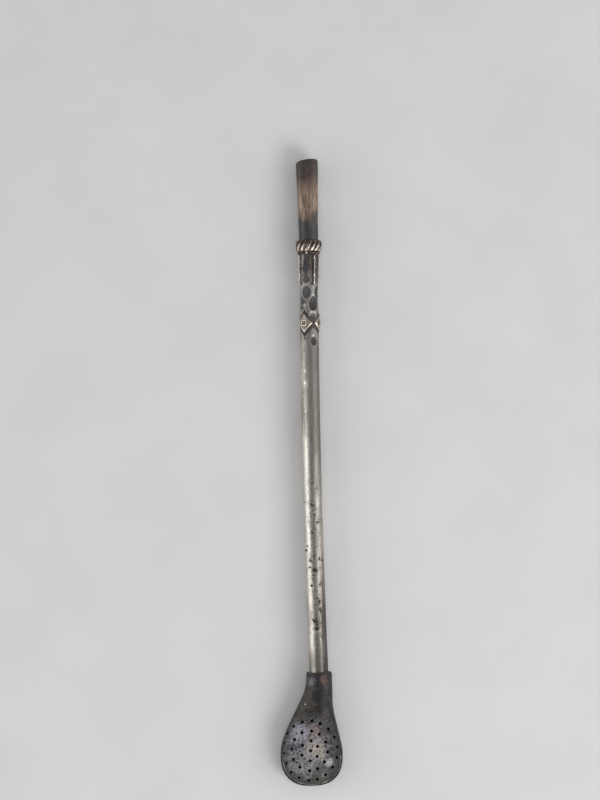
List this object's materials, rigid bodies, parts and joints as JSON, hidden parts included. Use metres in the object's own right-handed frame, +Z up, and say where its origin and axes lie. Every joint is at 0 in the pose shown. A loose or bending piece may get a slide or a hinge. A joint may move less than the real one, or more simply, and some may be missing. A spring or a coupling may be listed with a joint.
{
  "type": "bombilla",
  "caption": "Metal drinking straw for mate: copper mouthpiece, roped collar, chased stem with applied lozenges and a pierced spoon-shaped strainer that pulls off for cleaning.",
  "frame": {"origin": "centre of the overall box, on the table plane that the straw lies on", "axes": "+Y along the tube towards the mouth, +Z up off the table with the pierced front uppermost, +X to the right seen from above"},
  "size_m": [0.0218, 0.2204, 0.0094],
  "materials": {
    "mouth_copper": "tarnished, streaked along its length",
    "gilt_knop": "worn gilding, dark in the grooves",
    "dark_bronze": "darkened",
    "nickel_silver": "worn satin with dark pits",
    "gilt_wire": "worn gilding",
    "gilt_lozenge": "stippled gilding",
    "gilt_trim": "worn gilding",
    "strainer_plate": "mottled dark patina",
    "strainer_shell": "dark patina",
    "socket_copper": "tarnished"
  },
  "bodies": {
    "straw": {"mouthpiece": "mouth_copper", "knop": "gilt_knop", "seat_ring": "dark_bronze", "stem_tube": "nickel_silver", "wire_1": "gilt_wire", "wire_2": "gilt_wire", "wire_3": "gilt_wire", "wire_4": "gilt_wire", "lozenge_1": "gilt_lozenge", "lozenge_2": "gilt_lozenge", "lozenge_3": "gilt_lozenge", "frame_1": "gilt_trim", "frame_2": "gilt_trim", "frame_3": "gilt_trim", "collet_1": "gilt_trim", "collet_2": "gilt_trim", "collet_3": "gilt_trim", "pellets": "gilt_trim"},
    "strainer": {"strainer_front": "strainer_plate", "strainer_back": "strainer_shell", "socket_sleeve": "socket_copper"}
  },
  "joints": [
    {"name": "strainer_pull", "type": "slide", "parent": "straw", "child": "strainer", "axis": [0, -1, 0], "range_m": [0, 0.014]}
  ]
}
